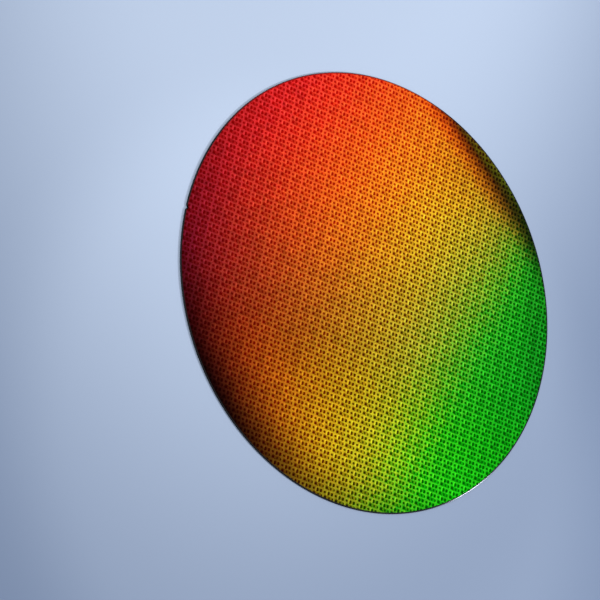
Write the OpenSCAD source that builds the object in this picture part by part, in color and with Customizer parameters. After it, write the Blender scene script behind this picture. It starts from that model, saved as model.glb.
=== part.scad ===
// A patterned silicon wafer, lying on its back: a thin round disc with a bevelled rim,
// an orientation notch, and circuit layers on the front that lanes cut into a grid of dies.

/* [Wafer] */
// Diameter of the wafer
wafer_d = 300; // [150:1:300]
// Thickness of the wafer, with its circuit layers
wafer_t = 0.775; // [0.65:0.005:1]

/* [Rim] */
// Width of the bevel that runs round both faces
bevel_run = 0.35; // [0.2:0.01:0.4]
// Slope of the bevel, from the face
bevel_angle = 22; // [18:1:24]
// Radius of the rounding between a bevel and the rim's upright band
corner_r = 0.2; // [0.1:0.01:0.2]
// Width of the bare ring outside the circuit layers, bevel included
bare_edge = 1; // [0.5:0.1:5]

/* [Notch] */
// Depth of the notch, from the rim
notch_depth = 1; // [0.8:0.05:1.2]
// Angle between the notch's two flanks
notch_angle = 90; // [80:1:100]
// Radius of the notch's rounded bottom
notch_r = 0.9; // [0.5:0.05:1.1]

/* [Dies] */
// Distance from one die to the next along X
die_pitch_x = 6.4; // [6:0.1:40]
// Distance from one die to the next along Y
die_pitch_y = 8.8; // [8:0.1:40]
// How far the middle of the middle column lies from the wafer's centre, along X
grid_shift_x = -0.36; // [-3:0.01:3]
// How far the middle row lane lies from the wafer's centre, along Y
grid_shift_y = 0.24; // [-3:0.01:3]
// Height of the circuit layers above the bare silicon
film_h = 0.012; // [0.006:0.001:0.02]
// Width of the lanes between rows, which run along X down to the bare silicon
row_lane_w = 0.12; // [0.04:0.01:0.3]
// Width of the lanes between columns, which run along Y
column_lane_w = 0.08; // [0.04:0.01:0.3]
// Height of the layers left in the lanes between columns
column_lane_rest = 0.002; // [0.001:0.001:0.005]

/* [Hidden] */
$fn = 360;
// How far a cut runs past the face it opens
over = 0.1;
// Flats that make up each rounding of the rim
corner_steps = 4;
wafer_r = wafer_d / 2;
film_r = wafer_r - bare_edge;
silicon_t = wafer_t - film_h;
bevel_drop = bevel_run * tan(bevel_angle);

// The rounding from the angle start to the angle end, about a centre at the height z.
function rim_corner(z, start, end) = [
    for (step = [0:corner_steps])
        let (a = start + (end - start) * step / corner_steps)
            [wafer_r - corner_r + corner_r * cos(a), z + corner_r * sin(a)]
];

// Half of the wafer's section: flat back, bevelled and rounded rim, bare ring, circuit layers.
module section() {
    turn = 90 - bevel_angle;
    corner_z = bevel_drop + corner_r * tan(turn / 2);
    polygon(concat(
        [[0, 0], [wafer_r - bevel_run, 0]],
        rim_corner(corner_z, -turn, 0),
        rim_corner(silicon_t - corner_z, 0, turn),
        [
            [wafer_r - bevel_run, silicon_t],
            [film_r, silicon_t],
            [film_r, wafer_t],
            [0, wafer_t],
        ]
    ));
}

// What the notch takes away beside one point of its wall: a straight wall with a bevelled lip
// on each face. The wall is at 0, and the section reaches back into the notch by reach.
module notch_section(reach) {
    lip = bevel_run * (1 + over / bevel_drop);
    polygon([
        [-reach, -over],
        [lip, -over],
        [0, bevel_drop],
        [0, silicon_t - bevel_drop],
        [lip, silicon_t + over],
        [-reach, silicon_t + over],
    ]);
}

// A V with a rounded bottom, open towards -Y. Its origin is the centre of the rounding.
module notch() {
    flank = notch_angle / 2;
    reach = notch_depth + 2 * notch_r;
    rotate_extrude() translate([notch_r, 0]) notch_section(notch_r);
    for (side = [0, 1]) {
        mirror([side, 0, 0])
            translate([notch_r * cos(flank), notch_r * sin(flank), 0])
                rotate([90, 0, flank])
                    linear_extrude(reach) notch_section(reach);
    }
}

// Lanes between columns of dies, which run along Y.
module column_lanes() {
    columns = ceil(film_r / die_pitch_x);
    for (i = [-columns:columns]) {
        x = (i + 0.5) * die_pitch_x + grid_shift_x;
        if (abs(x) < film_r) {
            translate([x - column_lane_w / 2, -wafer_r, silicon_t + column_lane_rest])
                cube([column_lane_w, wafer_d, film_h]);
        }
    }
}

// Lanes between rows of dies, which run along X.
module row_lanes() {
    rows = ceil(film_r / die_pitch_y);
    for (j = [-rows:rows]) {
        y = j * die_pitch_y + grid_shift_y;
        if (abs(y) < film_r) {
            translate([-wafer_r, y - row_lane_w / 2, silicon_t])
                cube([wafer_d, row_lane_w, 2 * film_h]);
        }
    }
}

module wafer() {
    color("darkorange")
        difference() {
            difference() {
                difference() {
                    rotate_extrude() section();
                    translate([0, notch_depth - notch_r - wafer_r, 0]) notch();
                }
                column_lanes();
            }
            row_lanes();
        }
}

wafer();
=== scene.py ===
"""A patterned silicon wafer, lying on its back on a pale floor.

The disc is bare silicon. On its face lie the circuit layers: a film cut into dies by narrow
lanes, and on each die the blocks of its floor plan. All of them are trimmed at the film's edge.
"""
import math

import bmesh
import bpy
from mathutils import Matrix, Quaternion, Vector


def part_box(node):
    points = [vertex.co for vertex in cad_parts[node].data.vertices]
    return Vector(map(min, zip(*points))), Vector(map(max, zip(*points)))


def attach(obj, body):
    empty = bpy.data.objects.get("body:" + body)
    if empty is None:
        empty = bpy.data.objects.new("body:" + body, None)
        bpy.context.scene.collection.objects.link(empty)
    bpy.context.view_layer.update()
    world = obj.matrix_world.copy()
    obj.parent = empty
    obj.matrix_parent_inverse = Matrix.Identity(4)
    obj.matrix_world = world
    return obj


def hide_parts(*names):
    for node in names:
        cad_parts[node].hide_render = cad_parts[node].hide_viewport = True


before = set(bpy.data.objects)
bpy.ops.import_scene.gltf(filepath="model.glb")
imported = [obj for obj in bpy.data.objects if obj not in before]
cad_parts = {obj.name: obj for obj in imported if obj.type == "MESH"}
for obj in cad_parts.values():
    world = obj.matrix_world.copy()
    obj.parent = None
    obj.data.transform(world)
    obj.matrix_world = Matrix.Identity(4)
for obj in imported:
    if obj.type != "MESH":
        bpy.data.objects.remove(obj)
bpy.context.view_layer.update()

MM = 0.001

# ---------------------------------------------------------------- sizes, in millimetres

wafer_low, wafer_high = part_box("wafer")
WAFER_R = (wafer_high.x - wafer_low.x) / 2 / MM
WAFER_T = wafer_high.z / MM

BEVEL_RUN = 0.35
BEVEL_ANGLE = math.radians(22)
BEVEL_DROP = BEVEL_RUN * math.tan(BEVEL_ANGLE)
RIM_CORNER_R = 0.2
RIM_CORNER_STEPS = 12
RIM_STEPS = 720
SHARP_ANGLE = math.radians(16)

NOTCH_DEPTH = 1.0
NOTCH_R = 0.9
NOTCH_FLANK = math.radians(45)
NOTCH_SHOULDER_R = 0.7
NOTCH_STEPS = 16

BARE_EDGE = 1.0
FILM_R = WAFER_R - BARE_EDGE
FILM_H = 0.012
SILICON_T = WAFER_T - FILM_H
# How far the foot of a block reaches into what it stands on.
SUNK = 0.004

PITCH_X = 6.4
PITCH_Y = 8.8
SHIFT_X = -0.36
SHIFT_Y = 0.24
ROW_LANE = 0.12
COLUMN_LANE = 0.08


# ---------------------------------------------------------------- node trees

def feed(tree, node, inputs):
    """Feeds a node's inputs with values or with the outputs of other nodes."""
    for key, value in inputs.items():
        if isinstance(value, bpy.types.NodeSocket):
            tree.links.new(value, node.inputs[key])
        else:
            node.inputs[key].default_value = value


def put(tree, kind, inputs=None, **settings):
    """Adds a node, sets its properties and feeds its inputs."""
    new = tree.nodes.new(kind)
    for name, value in settings.items():
        setattr(new, name, value)
    feed(tree, new, inputs or {})
    return new


def calc(tree, operation, *values):
    """The result of a Math node."""
    return put(tree, "ShaderNodeMath", dict(enumerate(values)), operation=operation).outputs[0]


def product(tree, first, *others):
    """Several numbers multiplied together."""
    for other in others:
        first = calc(tree, "MULTIPLY", first, other)
    return first


def vector(tree, operation, *values):
    """The result of a Vector Math node: its number for a length or a dot product."""
    new = put(tree, "ShaderNodeVectorMath", dict(enumerate(values)), operation=operation)
    return new.outputs["Value" if operation in ("LENGTH", "DOT_PRODUCT") else "Vector"]


def scaled(tree, value, factor):
    """A vector times a number."""
    return put(tree, "ShaderNodeVectorMath", {0: value, "Scale": factor}, operation="SCALE").outputs[0]


def as_vector(tree, x, y, z=0.0):
    """A vector made of three numbers."""
    return put(tree, "ShaderNodeCombineXYZ", {"X": x, "Y": y, "Z": z}).outputs[0]


def axes_of(tree, value):
    """The X, Y and Z of a vector."""
    return put(tree, "ShaderNodeSeparateXYZ", {0: value}).outputs


def fade(tree, value, start, end, low=0.0, high=1.0):
    """Goes smoothly from low to high as the value goes from start to end."""
    inputs = {"Value": value, "From Min": start, "From Max": end, "To Min": low, "To Max": high}
    return put(tree, "ShaderNodeMapRange", inputs, interpolation_type="SMOOTHSTEP").outputs[0]


def mix(tree, share, first, second):
    """Mixes two colours."""
    return put(tree, "ShaderNodeMix", {0: share, 6: first, 7: second}, data_type="RGBA").outputs[2]


def solid(red, green, blue):
    """An opaque colour."""
    return (red, green, blue, 1.0)


def place_in_mm(tree):
    """The place on the wafer or the floor, in millimetres from the middle of the wafer's back."""
    return scaled(tree, put(tree, "ShaderNodeTexCoord").outputs["Object"], 1 / MM)


def from_die_corner(tree):
    """The place on the face, in millimetres from the corner of a die."""
    return vector(tree, "ADD", place_in_mm(tree), (PITCH_X / 2 - SHIFT_X, -SHIFT_Y, 0.0))


def new_material(name, metallic):
    """A new material, with its node tree and its shader."""
    material = bpy.data.materials.new(name)
    material.use_nodes = True
    tree = material.node_tree
    shader = tree.nodes["Principled BSDF"]
    shader.inputs["Metallic"].default_value = metallic
    return material, tree, shader


# ---------------------------------------------------------------- colours of the face

# The fine circuits split light like a grating, so the hue changes along one direction. This split
# light is painted on as a fixed hue, a painted reflection. Each stop is its place along that
# direction, in millimetres, and its colour. The middle tones are those of plain circuits, the dark
# ones of memory, and the bright ones of wide metal.
DARK_TONES = (
    (-145, (0.55, 0.0, 0.0)),
    (-110, (0.52, 0.0, 0.0)),
    (-70, (0.46, 0.0, 0.0)),
    (-30, (0.37, 0.0, 0.0)),
    (0, (0.28, 0.0, 0.0)),
    (25, (0.17, 0.0, 0.0)),
    (50, (0.05, 0.03, 0.0)),
    (80, (0.0, 0.12, 0.0)),
    (110, (0.0, 0.2, 0.0)),
    (140, (0.0, 0.21, 0.0)),
)
MIDDLE_TONES = (
    (-145, (0.86, 0.015, 0.02)),
    (-110, (0.88, 0.035, 0.013)),
    (-70, (0.93, 0.115, 0.01)),
    (-30, (1.0, 0.25, 0.01)),
    (0, (1.08, 0.46, 0.01)),
    (25, (1.09, 0.64, 0.01)),
    (50, (0.87, 0.79, 0.012)),
    (65, (0.54, 0.84, 0.01)),
    (80, (0.25, 0.94, 0.008)),
    (97, (0.01, 0.97, 0.005)),
    (140, (0.0, 0.88, 0.004)),
)
BRIGHT_TONES = (
    (-145, (1.6, 0.07, 0.1)),
    (-110, (1.65, 0.15, 0.07)),
    (-70, (1.7, 0.29, 0.045)),
    (-30, (1.85, 0.6, 0.04)),
    (0, (2.1, 1.1, 0.05)),
    (25, (2.2, 1.6, 0.07)),
    (50, (2.05, 2.0, 0.1)),
    (65, (1.65, 2.2, 0.1)),
    (80, (1.0, 2.3, 0.09)),
    (97, (0.35, 2.4, 0.08)),
    (112, (0.15, 2.35, 0.06)),
    (140, (0.08, 2.2, 0.06)),
)
MIDDLE_SHADE = 0.5

# The hue runs along Y with a share of X added, and the share changes with X.
HUE_SLANT = 0.38
HUE_CURVE = -0.0008

# Smooth drifts over the face, of its painted hue and of painted light and shade: the direction of
# each in degrees from X, the places along it where it starts and ends, in millimetres from the
# middle, and the values before and after.
# Painted shifts in the hue that the split light gives.
HUE_DRIFTS = (
    (0.0, 130.0, 150.0, 0.0, 12.0),
    (-50.0, 60.0, 130.0, 0.0, -9.0),
    (106.0, 106.0, 126.0, 0.0, 5.0),
)
# Painted shade: the face is painted darker towards its rim, more on some sides than others.
PAINTED_RIM_SHADES = (
    (0.0, 104.0, 172.0, 1.0, 0.3),
    (103.0, 122.0, 141.0, 1.0, 0.78),
    (-43.0, 98.0, 153.0, 1.0, 0.0),
)
# Painted light: the warm side is painted brighter and the cool side gets a faint painted glow, while
# blue's painted level falls across the face.
PAINTED_WARM_LIGHT = (180.0, -62.0, 92.0, 0.0, 0.55)
PAINTED_COOL_LIGHT = (0.0, 34.0, 106.0, 0.0, 0.074)
PAINTED_BLUE_LIGHT = (0.0, 10.0, 80.0, 0.56, 0.28)
# Painted shade: a dark crescent by one side of the rim, where green darkens first, with a thin band of
# painted colour again at the very edge.
PAINTED_RED_SHADES = (
    (144.5, 112.0, 126.0, 1.0, 0.93),
    (144.5, 126.0, 143.0, 1.0, 0.1),
)
PAINTED_RED_EDGE = (150.0, 143.0, 149.0, 0.0, 0.05)
PAINTED_GREEN_SHADE = (144.5, 118.0, 141.5, 1.0, 0.08)
PAINTED_GREEN_EDGE = (150.0, 141.0, 149.0, 0.0, 0.15)

# Soft hollows of painted shade in the brightness: the middle and the reach of each, in millimetres,
# and the level in its middle.
HOLLOW = ((-113.0, 52.0), 50.0, 0.85)
GREEN_HOLLOW = ((-90.0, 85.0), 45.0, 0.83)

# The plain level of the face's painted light.
PLAIN_LEVEL = 0.345
# The part of the hue's range over which the warm side gains its extra painted light.
WARM_HUES = (80.0, -66.0)
# Towards -Y and +Y the face is painted darker, as painted shade, with the square of the distance
# past an even band. The distance counts less on the +Y side.
EVEN_BAND = 26.0
DIM_RATE = 4.5e-5
UPPER_SHARE = 0.66

# How far the hue, in millimetres, and the brightness of dies and blocks differ from the mean.
BLOCK_HUE = 9.0
BLOCK_LEVEL = 0.18
DIE_LEVEL = 0.07
# The height of a field of noise, in millimetres: more than the wafer's, so that one is enough.
FIELD_HEIGHT = 10.0


def rainbow(tree, place, stops):
    """A colour ramp over a place in millimetres."""
    first, last = stops[0][0], stops[-1][0]
    share = calc(tree, "DIVIDE", calc(tree, "SUBTRACT", place, float(first)), float(last - first))
    ramp = put(tree, "ShaderNodeValToRGB", {"Fac": share})
    elements = ramp.color_ramp.elements
    elements[0].color = solid(*stops[0][1])
    elements[-1].color = solid(*stops[-1][1])
    for at, colour in stops[1:-1]:
        elements.new((at - first) / (last - first)).color = solid(*colour)
    return ramp.outputs["Color"]


def across(tree, x, y, angle):
    """How far a place lies from the middle of the face, in millimetres, towards this angle."""
    turn = math.radians(angle)
    share = calc(tree, "MULTIPLY", y, math.sin(turn))
    return calc(tree, "MULTIPLY_ADD", x, math.cos(turn), share)


def drift(tree, x, y, angle, start, end, before, after):
    """A smooth change from one value to another, along a direction over the face."""
    return fade(tree, across(tree, x, y, angle), start, end, before, after)


def dip(tree, x, y, middle, reach, low):
    """Falls smoothly to low at a place on the face, from 1 at this reach round it."""
    away = as_vector(
        tree, calc(tree, "SUBTRACT", x, middle[0]), calc(tree, "SUBTRACT", y, middle[1]))
    return fade(tree, vector(tree, "LENGTH", away), 0.0, reach, low, 1.0)


def field_tone(tree, place, width, depth):
    """A tone from 0 to 1 that differs from one field of this size to the next."""
    corner = vector(tree, "SNAP", place, (width, depth, FIELD_HEIGHT))
    return put(tree, "ShaderNodeTexWhiteNoise", {"Vector": corner}).outputs["Value"]


def scatter(tree, place, width, depth, middle, reach):
    """A number that differs from one field of this size to the next: middle, give or take reach."""
    tone = field_tone(tree, place, width, depth)
    return calc(tree, "MULTIPLY_ADD", tone, 2 * reach, middle - reach)


def along_rainbow(tree, x, y):
    """Where a place on the face lies along the direction of the hue, in millimetres."""
    bend = calc(tree, "MULTIPLY", x, calc(tree, "MULTIPLY_ADD", x, HUE_CURVE, HUE_SLANT))
    place = calc(tree, "ADD", y, bend)
    for one in HUE_DRIFTS:
        place = calc(tree, "ADD", place, drift(tree, x, y, *one))
    return place


def painted_rim_shade(tree, x, y):
    """How much painted shade darkens the face towards its rim, which differs from side to side."""
    lower, upper = calc(tree, "MULTIPLY", y, -1.0), calc(tree, "MULTIPLY", y, UPPER_SHARE)
    side = calc(tree, "MAXIMUM", lower, upper)
    past = calc(tree, "MAXIMUM", calc(tree, "SUBTRACT", side, EVEN_BAND), 0.0)
    dim = calc(tree, "MULTIPLY_ADD", calc(tree, "POWER", past, 2.0), -DIM_RATE, 1.0)
    return product(tree, dim, *(drift(tree, x, y, *rim) for rim in PAINTED_RIM_SHADES))


def brightness(tree, x, y, hue_place):
    """The gain of each colour as painted light and shade: more on the warm side, and less towards the
    rim, least so for blue.
    """
    warm = calc(tree, "MULTIPLY", drift(tree, x, y, *PAINTED_WARM_LIGHT), fade(tree, hue_place, *WARM_HUES))
    level = calc(tree, "ADD", calc(tree, "ADD", warm, PLAIN_LEVEL), drift(tree, x, y, *PAINTED_COOL_LIGHT))
    dim = painted_rim_shade(tree, x, y)
    level = calc(tree, "MULTIPLY", level, dim)
    blue = calc(tree, "MULTIPLY", drift(tree, x, y, *PAINTED_BLUE_LIGHT), calc(tree, "SQRT", dim))
    return as_vector(tree, level, level, blue)


def crescent(tree, x, y):
    """The gain of each colour by one side of the rim: a painted dark crescent of shade, where green falls
    first.
    """
    hollow = dip(tree, x, y, *HOLLOW)
    red = product(tree, hollow, *(drift(tree, x, y, *fall) for fall in PAINTED_RED_SHADES))
    red = calc(tree, "ADD", red, drift(tree, x, y, *PAINTED_RED_EDGE))
    green = product(
        tree, hollow, hollow, dip(tree, x, y, *GREEN_HOLLOW), drift(tree, x, y, *PAINTED_GREEN_SHADE))
    green = calc(tree, "ADD", green, drift(tree, x, y, *PAINTED_GREEN_EDGE))
    return as_vector(tree, red, green, green)


def face_colour_tree():
    """The colour of the circuit layers at a place on the face, from a shade of 0 (dark) to 1 (bright),
    with the painted hue and painted light and shade.
    """
    tree = bpy.data.node_groups.new("face_colour", "ShaderNodeTree")
    tree.interface.new_socket("Shade", in_out="INPUT", socket_type="NodeSocketFloat")
    tree.interface.new_socket("Colour", in_out="OUTPUT", socket_type="NodeSocketColor")
    shade = put(tree, "NodeGroupInput").outputs["Shade"]
    axes = axes_of(tree, place_in_mm(tree))
    x, y = axes["X"], axes["Y"]
    hue_place = along_rainbow(tree, x, y)
    die_place = from_die_corner(tree)
    own_hue = scatter(tree, die_place, PITCH_X / 5, PITCH_Y / 7, 0.0, BLOCK_HUE)
    own_place = calc(tree, "ADD", hue_place, own_hue)
    dark = rainbow(tree, own_place, DARK_TONES)
    middle = rainbow(tree, own_place, MIDDLE_TONES)
    bright = rainbow(tree, own_place, BRIGHT_TONES)
    lower = put(tree, "ShaderNodeMapRange", {"Value": shade, "From Max": MIDDLE_SHADE}).outputs[0]
    upper = put(tree, "ShaderNodeMapRange", {"Value": shade, "From Min": MIDDLE_SHADE}).outputs[0]
    colour = mix(tree, upper, mix(tree, lower, dark, middle), bright)
    die_level = scatter(tree, die_place, PITCH_X, PITCH_Y, 1.0, DIE_LEVEL)
    block_level = scatter(tree, die_place, PITCH_X / 4, PITCH_Y / 5, 1.0, BLOCK_LEVEL)
    # Painted light and shade over the face, then the tones that differ at random from die to die and
    # block to block.
    gain = vector(tree, "MULTIPLY", brightness(tree, x, y, hue_place), crescent(tree, x, y))
    gain = scaled(tree, gain, calc(tree, "MULTIPLY", die_level, block_level))
    shown = vector(tree, "MULTIPLY", colour, gain)
    put(tree, "NodeGroupOutput", {"Colour": vector(tree, "MINIMUM", shown, (1.0, 1.0, 1.0))})
    return tree


FACE_COLOUR = face_colour_tree()


# ---------------------------------------------------------------- materials

# How much a cell's own tone and its grooves count, and about the mean of the two together.
CELL_TONE = 0.6
GROOVE_TONE = 0.4
MEAN_TONE = 0.55
# How much smoother a cell is than the grooves round it, and how deep they look, in millimetres.
GROOVE_ROUGHNESS = 0.06
GROOVE_DEPTH = 0.002

BACK_SHADES = (solid(0.19, 0.2, 0.22), solid(0.27, 0.282, 0.305))
# The rim's colour: the ground rim's own dark grey, painted darker still to near-black as painted shade.
RIM_SHADES = (solid(0.012, 0.0125, 0.014), solid(0.02, 0.021, 0.023))
GRAZING_TINT = solid(0.35, 0.36, 0.38)
LANE_SHADE = 0.4
# Painted glow: one side of the bare ring is painted with some of the face's colour.
PAINTED_RING_GLOW = (205.0, 105.0, 140.0, 0.0, 0.6)
HAZE_RANGE = (0.3, 0.9)
SWIRL_IN_HAZE = 0.2
POLISH = 0.07
CLOUD_ROUGHNESS = 0.05
SWIRL_ROUGHNESS = 0.02
RIM_ROUGHNESS = 0.06
SWIRL_DEPTH = 0.01
# A height just under the silicon's front, in millimetres, past which a place is on the front.
FRONT_FROM = SILICON_T - 0.001


def in_one_die(tree):
    """The place within a die, in millimetres, which repeats from die to die."""
    return vector(tree, "WRAP", from_die_corner(tree), (PITCH_X, PITCH_Y, 1.0), (0.0, 0.0, 0.0))


def grooves(tree, place, width, depth):
    """Fine grooves round cells of this size, as a height from 0 to 1."""
    axes = axes_of(tree, place)
    heights = []
    for axis, step in (("X", width), ("Y", depth)):
        wave = calc(tree, "PINGPONG", axes[axis], step / 2)
        heights.append(fade(tree, wave, 0.0, step / 5))
    return calc(tree, "MINIMUM", *heights)


def circuit_material(name, shade, cell, strength, roughness):
    """Circuit layers of one shade, with cells of this size whose tone varies, and grooves between."""
    material, tree, shader = new_material(name, metallic=1.0)
    place = in_one_die(tree)
    height = grooves(tree, place, *cell)
    tone = calc(tree, "MULTIPLY_ADD", height, GROOVE_TONE, -MEAN_TONE)
    tone = calc(tree, "MULTIPLY_ADD", field_tone(tree, place, *cell), CELL_TONE, tone)
    tone = calc(tree, "MULTIPLY_ADD", tone, strength, shade)
    colour = put(tree, "ShaderNodeGroup", {"Shade": tone}, node_tree=FACE_COLOUR)
    bump = put(tree, "ShaderNodeBump", {
        "Height": height, "Strength": 0.15, "Distance": GROOVE_DEPTH * MM,
    })
    feed(tree, shader, {
        "Base Color": colour.outputs["Colour"],
        "Roughness": calc(tree, "MULTIPLY_ADD", height, -GROOVE_ROUGHNESS, roughness),
        "Normal": bump.outputs[0],
    })
    return material


def silicon_material():
    """Bare silicon: a polished grey back, a rim painted near-black as shade, a thin film in the lanes,
    and a painted glow on one side of the bare ring.
    """
    material, tree, shader = new_material("bare_silicon", metallic=1.0)
    place = place_in_mm(tree)
    flat = vector(tree, "MULTIPLY", place, (1.0, 1.0, 0.0))
    axes = axes_of(tree, place)
    height = axes["Z"]
    above_bevel = calc(tree, "GREATER_THAN", height, BEVEL_DROP)
    on_front = calc(tree, "GREATER_THAN", height, FRONT_FROM)
    on_rim = calc(tree, "SUBTRACT", above_bevel, on_front)
    in_lane = calc(tree, "LESS_THAN", vector(tree, "LENGTH", flat), FILM_R)
    painted_glow = drift(tree, axes["X"], axes["Y"], *PAINTED_RING_GLOW)

    cloud = put(tree, "ShaderNodeTexNoise", {
        "Vector": flat, "Scale": 0.02, "Detail": 4.0,
    }).outputs["Fac"]
    swirl = put(tree, "ShaderNodeTexWave", {
        "Vector": flat, "Scale": 0.35, "Distortion": 6.0, "Detail": 2.0, "Detail Scale": 0.05,
    }, wave_type="RINGS", rings_direction="Z").outputs["Fac"]
    haze = calc(tree, "MULTIPLY_ADD", swirl, SWIRL_IN_HAZE, cloud)
    back = mix(tree, fade(tree, haze, *HAZE_RANGE), *BACK_SHADES)
    rim = mix(tree, cloud, *RIM_SHADES)
    lane = put(tree, "ShaderNodeGroup", {"Shade": LANE_SHADE}, node_tree=FACE_COLOUR).outputs["Colour"]
    film_share = calc(tree, "MULTIPLY", on_front, calc(tree, "MAXIMUM", in_lane, painted_glow))

    rough = POLISH
    for value, roughness in (
        (cloud, CLOUD_ROUGHNESS), (swirl, SWIRL_ROUGHNESS), (on_rim, RIM_ROUGHNESS),
    ):
        rough = calc(tree, "MULTIPLY_ADD", value, roughness, rough)
    bump = put(tree, "ShaderNodeBump", {
        "Height": swirl, "Strength": 0.05, "Distance": SWIRL_DEPTH * MM,
    })
    feed(tree, shader, {
        "Base Color": mix(tree, film_share, mix(tree, above_bevel, back, rim), lane),
        "Roughness": rough,
        "Normal": bump.outputs[0],
        "Specular Tint": GRAZING_TINT,
    })
    return material


# ---------------------------------------------------------------- objects and their maps

# The map that every piece needs for its baked colours. For the circuit layers it is a square
# that looks straight down on the wafer. The disc's own map has its front and its back side by
# side, each given as its middle and its radius, and the rim in a band over the full width.
MAP_NAME = "OFBake"
FLAT_MAP_SIDE = 2.02 * WAFER_R
FRONT_ON_MAP = (0.31, 0.31, 0.3)
BACK_ON_MAP = (0.8, 0.73, 0.19)
RIM_ON_MAP = (0.94, 0.99)


def show(name, data):
    """A new object in the scene."""
    new = bpy.data.objects.new(name, data)
    bpy.context.scene.collection.objects.link(new)
    return new


def hand_over(piece):
    """Puts a finished piece on the wafer's only body."""
    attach(piece, "root")


def lay_flat_map(mesh):
    """Gives the mesh a map that looks straight down on the wafer."""
    side = FLAT_MAP_SIDE * MM
    flat_map = mesh.uv_layers.new(name=MAP_NAME)
    for loop in mesh.loops:
        place = mesh.vertices[loop.vertex_index].co
        flat_map.uv[loop.index].vector = (0.5 + place.x / side, 0.5 + place.y / side)


def lay_disc_map(mesh, count, bands):
    """Lays the disc's front, back and rim on one map. Each band of the rim has count faces."""
    disc_map = mesh.uv_layers.new(name=MAP_NAME)
    rim_low, rim_high = RIM_ON_MAP
    for face in mesh.polygons:
        band, step = divmod(face.index, count)
        middle_u, middle_v, radius = FRONT_ON_MAP if face.normal.z > 0 else BACK_ON_MAP
        for corner, loop in enumerate(face.loop_indices):
            place = mesh.vertices[mesh.loops[loop].vertex_index].co / (WAFER_R * MM)
            if band < bands:
                u = (step + (corner in (1, 2))) / count
                v = rim_low + (rim_high - rim_low) * (band + (corner > 1)) / bands
            else:
                u, v = middle_u + radius * place.x, middle_v + radius * place.y
            disc_map.uv[loop].vector = (u, v)


def add_stack(build, stack):
    """Adds a closed solid: outlines with equally many corners at rising heights, joined by walls."""
    rings = [[build.verts.new(Vector((*point, z)) * MM) for point in line] for line, z in stack]
    for lower, upper in zip(rings, rings[1:]):
        for i in range(len(lower)):
            j = (i + 1) % len(lower)
            build.faces.new((lower[i], lower[j], upper[j], upper[i]))
    build.faces.new(reversed(rings[0]))
    build.faces.new(rings[-1])


def stacks_mesh(name, stacks):
    """A mesh of closed solids, each a stack of counterclockwise outlines and their heights."""
    build = bmesh.new()
    for stack in stacks:
        add_stack(build, stack)
    mesh = bpy.data.meshes.new(name)
    build.to_mesh(mesh)
    build.free()
    return mesh


# ---------------------------------------------------------------- the disc

def rim_corner(z, start, end):
    """The rounding between a bevel and the rim's upright band, as (depth into the wafer, height)."""
    points = []
    for step in range(RIM_CORNER_STEPS + 1):
        angle = start + (end - start) * step / RIM_CORNER_STEPS
        points.append((RIM_CORNER_R * (1 - math.cos(angle)), z + RIM_CORNER_R * math.sin(angle)))
    return points


def rim_section():
    """The rim's section from the flat back to the bare ring on the front, up to the film's edge."""
    turn = math.pi / 2 - BEVEL_ANGLE
    corner_z = BEVEL_DROP + RIM_CORNER_R * math.tan(turn / 2)
    lower = rim_corner(corner_z, -turn, 0.0)
    upper = rim_corner(SILICON_T - corner_z, 0.0, turn)
    return [(BEVEL_RUN, 0.0), *lower, *upper, (BEVEL_RUN, SILICON_T), (BARE_EDGE, SILICON_T)]


def arc(centre, radius, start, end, steps, hollow):
    """Points along an arc with the direction into the silicon, which a hollow arc bends round."""
    path = []
    for step in range(steps + 1):
        angle = start + (end - start) * step / steps
        outward = Vector((math.cos(angle), math.sin(angle)))
        path.append((centre + radius * outward, outward if hollow else -outward))
    return path


def notch_half():
    """Half of the notch, from its bottom to the rim, as (point, direction into the silicon)."""
    centre = Vector((0.0, NOTCH_DEPTH - NOTCH_R - WAFER_R))
    bottom = arc(centre, NOTCH_R, math.pi / 2, NOTCH_FLANK, NOTCH_STEPS, hollow=True)
    flank_start, inward = bottom[-1]
    down = Vector((inward.y, -inward.x))
    # The shoulder touches the flank and the rim, so its centre lies its radius inside both.
    base = flank_start + NOTCH_SHOULDER_R * inward
    reach = WAFER_R - NOTCH_SHOULDER_R
    along = base.dot(down)
    run = math.sqrt(along ** 2 - base.length_squared + reach ** 2) - along
    shoulder = base + run * down
    start = NOTCH_FLANK - math.pi
    end = math.atan2(shoulder.y, shoulder.x)
    return bottom + arc(shoulder, NOTCH_SHOULDER_R, start, end, NOTCH_STEPS, hollow=False)


def rim_outline():
    """The wafer's outline from above, counterclockwise from the middle of the notch."""
    half = notch_half()
    other_half = [
        (Vector((-point.x, point.y)), Vector((-inward.x, inward.y))) for point, inward in half
    ]
    start = math.atan2(half[-1][0].y, half[-1][0].x)
    end = math.pi - start
    middle = Vector((0.0, 0.0))
    rim = arc(middle, WAFER_R, start, end, RIM_STEPS, hollow=False)
    return half + rim[1:-1] + other_half[:0:-1]


def offset(outline, depth):
    """The outline moved this far into the silicon."""
    return [point + depth * inward for point, inward in outline]


def silicon_disc(material):
    """The whole wafer without its circuit layers: flat faces and the rim's section swept round."""
    outline = rim_outline()
    section = rim_section()
    mesh = stacks_mesh("silicon_disc", [[(offset(outline, depth), z) for depth, z in section]])
    mesh.shade_smooth()
    mesh.set_sharp_from_angle(angle=SHARP_ANGLE)
    mesh.materials.append(material)
    lay_disc_map(mesh, len(outline), len(section) - 1)
    disc = show("silicon_disc", mesh)
    hand_over(disc)
    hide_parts("wafer")


# ---------------------------------------------------------------- the grid of dies

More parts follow.
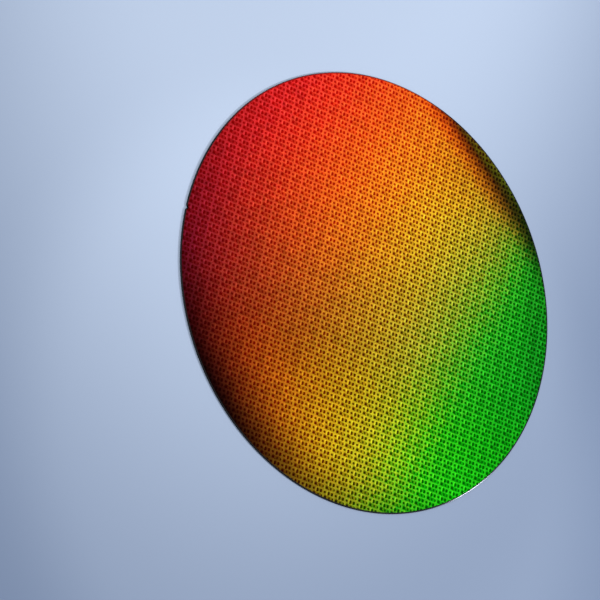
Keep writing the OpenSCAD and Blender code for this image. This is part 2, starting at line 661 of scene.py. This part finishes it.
def die_grid_tree():
    """Repeats a cell of blocks over the wafer, and trims the dies that cross the film's edge."""
    tree = bpy.data.node_groups.new("die_grid", "GeometryNodeTree")
    sockets = tree.interface
    sockets.new_socket("Geometry", in_out="INPUT", socket_type="NodeSocketGeometry")
    sockets.new_socket("Cell", in_out="INPUT", socket_type="NodeSocketObject")
    sockets.new_socket("Film", in_out="INPUT", socket_type="NodeSocketObject")
    sockets.new_socket("Material", in_out="INPUT", socket_type="NodeSocketMaterial")
    for name in ("Pitch X", "Pitch Y", "Shift X", "Shift Y", "Film Radius", "Whole Radius"):
        sockets.new_socket(name, in_out="INPUT", socket_type="NodeSocketFloat")
    for name in ("Columns", "Rows"):
        sockets.new_socket(name, in_out="INPUT", socket_type="NodeSocketInt")
    sockets.new_socket("Geometry", in_out="OUTPUT", socket_type="NodeSocketGeometry")
    given = put(tree, "NodeGroupInput").outputs

    def span(pitch, number):
        return calc(tree, "MULTIPLY", given[pitch], calc(tree, "SUBTRACT", given[number], 1.0))

    # The middles of the dies.
    grid = put(tree, "GeometryNodeMeshGrid", {
        "Size X": span("Pitch X", "Columns"), "Size Y": span("Pitch Y", "Rows"),
        "Vertices X": given["Columns"], "Vertices Y": given["Rows"],
    })
    centres = put(tree, "GeometryNodeTransform", {
        "Geometry": grid.outputs["Mesh"],
        "Translation": as_vector(tree, given["Shift X"], given["Shift Y"]),
    })

    # A die is kept if its nearest point is on the film. It is whole if its farthest corner is
    # well inside.
    half = scaled(tree, as_vector(tree, given["Pitch X"], given["Pitch Y"]), 0.5)
    place = vector(tree, "ABSOLUTE", put(tree, "GeometryNodeInputPosition").outputs[0])
    near = vector(tree, "MAXIMUM", vector(tree, "SUBTRACT", place, half), (0.0, 0.0, 0.0))
    far = vector(tree, "ADD", place, half)
    on_film, whole = (
        put(tree, "FunctionNodeCompare", {0: vector(tree, "LENGTH", corner), 1: given[radius]},
            operation="LESS_THAN")
        for corner, radius in ((near, "Film Radius"), (far, "Whole Radius"))
    )
    kept = put(tree, "GeometryNodeSeparateGeometry", {
        "Geometry": centres.outputs[0], "Selection": on_film.outputs[0],
    })
    split = put(tree, "GeometryNodeSeparateGeometry", {
        "Geometry": kept.outputs["Selection"], "Selection": whole.outputs[0],
    })
    cell = put(tree, "GeometryNodeObjectInfo", {"Object": given["Cell"]})
    whole_dies, crossing_dies = (
        put(tree, "GeometryNodeInstanceOnPoints", {
            "Points": split.outputs[part], "Instance": cell.outputs["Geometry"],
        }).outputs[0]
        for part in ("Selection", "Inverted")
    )

    film = put(tree, "GeometryNodeObjectInfo", {"Object": given["Film"]})
    crossing = put(tree, "GeometryNodeRealizeInstances", {0: crossing_dies})
    trimmed = put(tree, "GeometryNodeMeshBoolean", operation="INTERSECT", solver="MANIFOLD")
    tree.links.new(crossing.outputs[0], trimmed.inputs["Mesh 2"])
    tree.links.new(film.outputs["Geometry"], trimmed.inputs["Mesh 2"])
    joined = put(tree, "GeometryNodeJoinGeometry")
    tree.links.new(whole_dies, joined.inputs[0])
    tree.links.new(trimmed.outputs["Mesh"], joined.inputs[0])
    real = put(tree, "GeometryNodeRealizeInstances", {0: joined.outputs[0]})
    painted = put(tree, "GeometryNodeSetMaterial", {
        "Geometry": real.outputs[0], "Material": given["Material"],
    })
    put(tree, "NodeGroupOutput", {"Geometry": painted.outputs[0]})
    return tree


DIE_GRID = die_grid_tree()


def block(x, y, width, depth, corner=0.0):
    """The outline of a block about a centre, with its corners cut or left square."""
    w, d, c = width / 2, depth / 2, corner
    if not c:
        return [(x - w, y - d), (x + w, y - d), (x + w, y + d), (x - w, y + d)]
    return [
        (x - w + c, y - d), (x + w - c, y - d), (x + w, y - d + c), (x + w, y + d - c),
        (x + w - c, y + d), (x - w + c, y + d), (x - w, y + d - c), (x - w, y - d + c),
    ]


def hidden_blocks(name, outlines, low, high):
    """An object outside the scene, made of blocks over these outlines, for the grid to use."""
    stacks = [[(outline, low), (outline, high)] for outline in outlines]
    return bpy.data.objects.new(name, stacks_mesh(name, stacks))


def repeat_on_dies(name, outlines, rise, material, film):
    """One piece that repeats these blocks on every die, rising this far above the film's top.

    With no rise the blocks are the film itself, which stands on the silicon."""
    low, high = (WAFER_T - SUNK, WAFER_T + rise) if rise else (SILICON_T - SUNK, WAFER_T)
    centred = [[(x - PITCH_X / 2, y - PITCH_Y / 2) for x, y in outline] for outline in outlines]
    cell = hidden_blocks(name + "_cell", centred, low, high)
    piece = show(name, bpy.data.meshes.new(name + "_empty"))
    modifier = piece.modifiers.new("die_grid", "NODES")
    modifier.node_group = DIE_GRID
    values = {
        "Cell": cell, "Film": film, "Material": material,
        "Pitch X": PITCH_X * MM, "Pitch Y": PITCH_Y * MM,
        "Shift X": SHIFT_X * MM, "Shift Y": SHIFT_Y * MM,
        "Film Radius": FILM_R * MM, "Whole Radius": (FILM_R - 2 * NOTCH_DEPTH) * MM,
        "Columns": 2 * math.ceil(WAFER_R / PITCH_X) + 1, "Rows": 2 * math.ceil(WAFER_R / PITCH_Y),
    }
    for socket in DIE_GRID.interface.items_tree:
        if socket.in_out == "INPUT" and socket.name in values:
            modifier[socket.identifier] = values[socket.name]
    graph = bpy.context.evaluated_depsgraph_get()
    mesh = bpy.data.meshes.new_from_object(piece.evaluated_get(graph), depsgraph=graph)
    mesh.name = name
    piece.modifiers.remove(modifier)
    piece.data = mesh
    bpy.data.objects.remove(cell)
    lay_flat_map(mesh)
    hand_over(piece)


# ---------------------------------------------------------------- one die's floor plan

def frame_bars(margin_x, margin_y, bar_x, bar_y):
    """Four bars that make a frame this far inside the die."""
    left, right = margin_x, PITCH_X - margin_x
    low, high = margin_y, PITCH_Y - margin_y
    return [
        [(left, low), (right, low), (right - bar_x, low + bar_y), (left + bar_x, low + bar_y)],
        [(right, low), (right, high), (right - bar_x, high - bar_y), (right - bar_x, low + bar_y)],
        [(right, high), (left, high), (left + bar_x, high - bar_y), (right - bar_x, high - bar_y)],
        [(left, high), (left, low), (left + bar_x, low + bar_y), (left + bar_x, high - bar_y)],
    ]


# Outlines in millimetres from the die's lower left corner, all counterclockwise.
FILM = [block(PITCH_X / 2, PITCH_Y / 2, PITCH_X - COLUMN_LANE, PITCH_Y - ROW_LANE)]
SEAL_RING = frame_bars(0.1, 0.12, 0.16, 0.34)
LOGIC_FIELD = [block(4.75, 4.4, 2.3, 7.4, 0.3)]
CACHE_FIELD = [block(1.8, 5.5, 1.9, 4.5, 0.3)]
CACHE_BANKS = [
    [(0.95, 3.45), (3.1, 3.45), (3.2, 3.9), (2.5, 4.95), (0.95, 4.95), (0.5, 4.5), (0.5, 3.9)],
    [(0.9, 6.1), (2.6, 6.1), (2.95, 6.5), (2.4, 7.65), (0.9, 7.75), (0.5, 7.4), (0.5, 6.5)],
    block(4.75, 7.85, 1.6, 1.1, 0.35),
]
CORE = [block(4.75, 2.0, 1.6, 1.7, 0.4)]
CORE_SURROUND = [
    [(3.7, 1.05), (5.2, 0.7), (5.8, 0.9), (5.9, 2.6), (5.5, 3.0), (3.7, 3.0), (3.3, 2.7), (3.3, 1.4)],
]
SIDE_BANKS = [
    block(4.75, 5.15, 1.8, 1.3, 0.4), block(1.6, 1.1, 1.6, 1.7, 0.4), block(5.6, 3.45, 0.8, 0.5, 0.1),
]
BUS_BARS = [[(0.2, 2.6), (3.3, 2.6), (3.3, 3.1), (0.85, 3.1), (0.75, 3.4), (0.2, 3.4)]]
BUS_LINKS = [
    block(2.9, 5.4, 0.7, 0.7, 0.2),
    [(2.95, 6.75), (3.35, 6.75), (3.4, 8.15), (2.4, 8.15), (2.4, 7.85), (2.95, 7.85)],
]

# name, outlines, rise, shade, cell of fine circuits, strength of their tones, roughness
PATTERNED = (
    ("die_film", FILM, 0.0, 0.62, (0.4, 0.3), 0.16, 0.34),
    ("seal_rings", SEAL_RING, 0.006, 0.83, (0.16, 0.2), 0.1, 0.3),
    ("logic_fields", LOGIC_FIELD, 0.005, 0.47, (0.3, 0.22), 0.2, 0.34),
    ("cache_fields", CACHE_FIELD, 0.004, 0.5, (0.24, 0.24), 0.14, 0.34),
    ("core_surrounds", CORE_SURROUND, 0.007, 0.25, (0.3, 0.2), 0.12, 0.32),
    ("cache_banks", CACHE_BANKS, 0.010, 0.03, (0.28, 0.2), 0.08, 0.3),
    ("core_blocks", CORE, 0.012, 0.0, (0.25, 0.25), 0.06, 0.3),
    ("side_banks", SIDE_BANKS, 0.010, 0.06, (0.28, 0.2), 0.08, 0.32),
    ("bus_bars", BUS_BARS, 0.008, 1.0, (0.3, 0.12), 0.08, 0.28),
    ("bus_links", BUS_LINKS, 0.008, 0.85, (0.12, 0.3), 0.08, 0.28),
)

silicon_disc(silicon_material())
film_area = hidden_blocks("film_area", [offset(rim_outline(), BARE_EDGE)], 0.0, 2 * WAFER_T)
for name, outlines, rise, shade, cell, strength, roughness in PATTERNED:
    paint = circuit_material(name, shade, cell, strength, roughness)
    repeat_on_dies(name, outlines, rise, paint, film_area)
bpy.data.objects.remove(film_area)


# ---------------------------------------------------------------- floor, light and camera

FLOOR_HALF = 6000.0
# How far the floor lies under the wafer's back, so that the two faces don't meet.
FLOOR_GAP = 0.05
# The floor's colour where no painted light falls, and where the most does.
FLOOR_SHADES = (solid(0.22, 0.29, 0.44), solid(0.625, 0.745, 0.95))
# Painted pools of light on the floor: the middle of each and how its shape is stretched, the
# distances at which it starts and ends to fade, and how pale it is.
PAINTED_LIGHT_POOLS = (
    ((-430.0, -125.0, 0.0), (0.7, 1.3, 1.0), 225.0, 530.0, 0.9),
    ((110.0, -16.0, 0.0), (1.0, 1.0, 1.0), 180.0, 260.0, 0.16),
)
# The distances between which the floor is painted paler all round, as painted light, and how pale it is
# past them.
PAINTED_FAR_LIGHT = (600.0, 2800.0, 0.0, 0.5)

ROOM_COLOUR = solid(0.97, 0.98, 1.0)
ROOM_LIGHT = 0.55


def painted_floor_light(tree):
    """How pale the painted light makes the floor at a place, from 0 to 1."""
    place = place_in_mm(tree)
    pale = 0.0
    for middle, stretch, start, end, level in PAINTED_LIGHT_POOLS:
        away = vector(tree, "MULTIPLY", vector(tree, "SUBTRACT", place, middle), stretch)
        pool = fade(tree, vector(tree, "LENGTH", away), start, end, level, 0.0)
        pale = calc(tree, "ADD", pool, pale)
    return calc(tree, "MAXIMUM", pale, fade(tree, vector(tree, "LENGTH", place), *PAINTED_FAR_LIGHT))


def make_floor():
    """A floor with painted pools of light. The wafer's back is seen, and sees, through it."""
    mesh = bpy.data.meshes.new("floor")
    corners = [(-1, -1), (1, -1), (1, 1), (-1, 1)]
    half, z = FLOOR_HALF * MM, -FLOOR_GAP * MM
    mesh.from_pydata([(half * x, half * y, z) for x, y in corners], [], [(0, 1, 2, 3)])
    material, tree, shader = new_material("pale_floor", metallic=0.0)
    colour = mix(tree, painted_floor_light(tree), *FLOOR_SHADES)
    feed(tree, shader, {"Base Color": colour, "Roughness": 0.8, "Specular IOR Level": 0.2})
    below = put(tree, "ShaderNodeNewGeometry").outputs["Backfacing"]
    path = put(tree, "ShaderNodeLightPath").outputs
    touching = calc(tree, "LESS_THAN", path["Ray Length"], WAFER_T * MM)
    under_wafer = calc(tree, "MULTIPLY", path["Is Glossy Ray"], touching)
    unseen = calc(tree, "MAXIMUM", below, under_wafer)
    clear = put(tree, "ShaderNodeBsdfTransparent")
    shown = put(tree, "ShaderNodeMixShader", {0: unseen, 1: shader.outputs[0], 2: clear.outputs[0]})
    feed(tree, tree.nodes["Material Output"], {"Surface": shown.outputs[0]})
    mesh.materials.append(material)
    show("floor", mesh)


def direction(azimuth, elevation):
    """The direction from the wafer at these angles."""
    level = math.cos(elevation)
    return Vector((math.cos(azimuth) * level, math.sin(azimuth) * level, math.sin(elevation)))


def make_softbox(name, width, height, power, azimuth, elevation, distance, tilt=0.0):
    """A soft light, seen from the wafer in this direction, turned towards it and tilted."""
    lamp = bpy.data.lights.new(name, "AREA")
    lamp.shape = "RECTANGLE"
    lamp.size, lamp.size_y = width, height
    lamp.energy = power
    holder = show(name, lamp)
    towards = direction(math.radians(azimuth), math.radians(elevation))
    holder.location = distance * towards
    holder.rotation_mode = "QUATERNION"
    tilted = Quaternion((0.0, 0.0, 1.0), math.radians(tilt))
    holder.rotation_quaternion = towards.to_track_quat("Z", "Y") @ tilted


def make_world():
    """An even pale room. Shiny surfaces see it at full brightness, and it lights the rest less."""
    world = bpy.data.worlds.new("studio")
    bpy.context.scene.world = world
    world.use_nodes = True
    tree = world.node_tree
    path = put(tree, "ShaderNodeLightPath").outputs
    seen = calc(tree, "MAXIMUM", path["Is Camera Ray"], path["Is Glossy Ray"])
    strength = put(tree, "ShaderNodeMapRange", {"Value": seen, "To Min": ROOM_LIGHT, "To Max": 1.0})
    background = tree.nodes["Background"]
    feed(tree, background, {"Color": ROOM_COLOUR, "Strength": strength.outputs[0]})


def make_camera():
    """A long lens that looks down on the wafer at a slant, rolled on its side."""
    aim = Vector((27.7, -53.3, 0.0)) * MM
    azimuth, elevation, roll = math.radians(-52.6), math.radians(53.26), math.radians(69.83)
    distance = 1.6273
    back = direction(azimuth, elevation)
    level = (-back).cross(Vector((0.0, 0.0, 1.0))).normalized()
    upright = level.cross(-back)
    right = level * math.cos(roll) + upright * math.sin(roll)
    up = back.cross(right)
    lens = bpy.data.cameras.new("camera")
    lens.lens = 150.0
    lens.sensor_width = 36.0
    camera = show("camera", lens)
    turn = Matrix((right, up, back)).transposed().to_4x4()
    camera.matrix_world = Matrix.Translation(aim + distance * back) @ turn
    bpy.context.scene.camera = camera


make_floor()
make_softbox("key_light", width=0.36, height=0.13, power=40.0,
             azimuth=84.6, elevation=23.9, distance=2.2, tilt=-42.0)
make_softbox("top_light", width=1.4, height=1.4, power=4.0,
             azimuth=200.0, elevation=68.0, distance=2.0)
make_world()
make_camera()
bpy.context.scene.view_settings.view_transform = "Standard"
